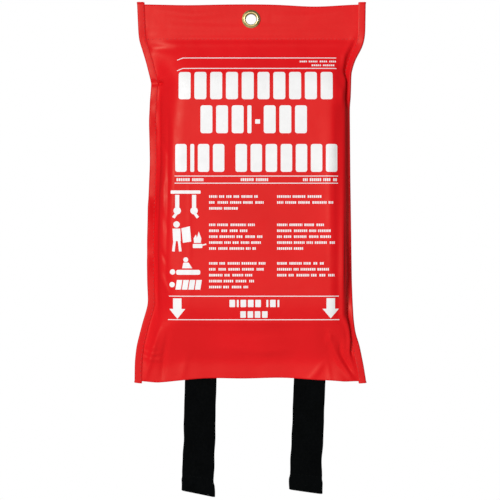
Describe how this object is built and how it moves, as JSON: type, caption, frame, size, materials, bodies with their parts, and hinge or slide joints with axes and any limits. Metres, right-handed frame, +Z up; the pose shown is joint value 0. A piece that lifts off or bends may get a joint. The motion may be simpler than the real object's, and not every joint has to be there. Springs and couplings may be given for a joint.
{
  "type": "fire blanket",
  "caption": "Soft red wall pouch wrapped round a folded fire blanket, with a brass hanging eyelet in its flat header and black webbing pull straps below its mouth.",
  "frame": {"origin": "centre of the hanging eyelet's hole, halfway through the header", "axes": "+Z up along the pouch, +Y towards the wall behind it, so the front faces -Y, and +X to the right as seen from the front"},
  "size_m": [0.1796, 0.0256, 0.3863],
  "materials": {
    "pvc_fabric": "satin PVC coating over a woven polyester scrim",
    "pvc_binding": "satin PVC-coated binding strip",
    "red_thread": "twisted polyester thread",
    "white_print": "screen-printed ink",
    "brass": "bright rolled brass",
    "hook_and_loop": "hook and loop pile",
    "glass_cloth": "woven glass fibre",
    "webbing": "matt woven webbing",
    "black_thread": "twisted polyester thread"
  },
  "bodies": {
    "pouch": {"front_panel": "pvc_fabric", "back_panel": "pvc_fabric", "left_side_binding": "pvc_binding", "right_side_binding": "pvc_binding", "header_needle_thread": "red_thread", "header_bobbin_thread": "red_thread", "left_binding_needle_thread": "red_thread", "left_binding_bobbin_thread": "red_thread", "right_binding_needle_thread": "red_thread", "right_binding_bobbin_thread": "red_thread", "eyelet_barrel": "brass", "eyelet_washer": "brass", "closure_hook_tape": "hook_and_loop", "closure_loop_tape": "hook_and_loop"},
    "blanket": {"folded_blanket": "glass_cloth", "left_strap_inner": "webbing", "right_strap_inner": "webbing", "left_strap_box_stitch": "black_thread", "right_strap_box_stitch": "black_thread"},
    "left_strap": {"left_strap_tail": "webbing", "left_strap_hem_thread": "black_thread"},
    "right_strap": {"right_strap_tail": "webbing", "right_strap_hem_thread": "black_thread"}
  },
  "joints": [
    {"name": "blanket_slide", "type": "slide", "parent": "pouch", "child": "blanket", "axis": [0, 0, -1], "range_m": [0, 0.262], "deforming": ["front_panel", "back_panel", "closure_hook_tape", "closure_loop_tape"]},
    {"name": "left_strap_swing", "type": "hinge", "parent": "blanket", "child": "left_strap", "pos_m": [-0.0393, 0, -0.286], "axis": [-1, 0, 0], "range_deg": [-90, 90]},
    {"name": "right_strap_swing", "type": "hinge", "parent": "blanket", "child": "right_strap", "pos_m": [0.0457, 0, -0.286], "axis": [-1, 0, 0], "range_deg": [-90, 90]}
  ]
}
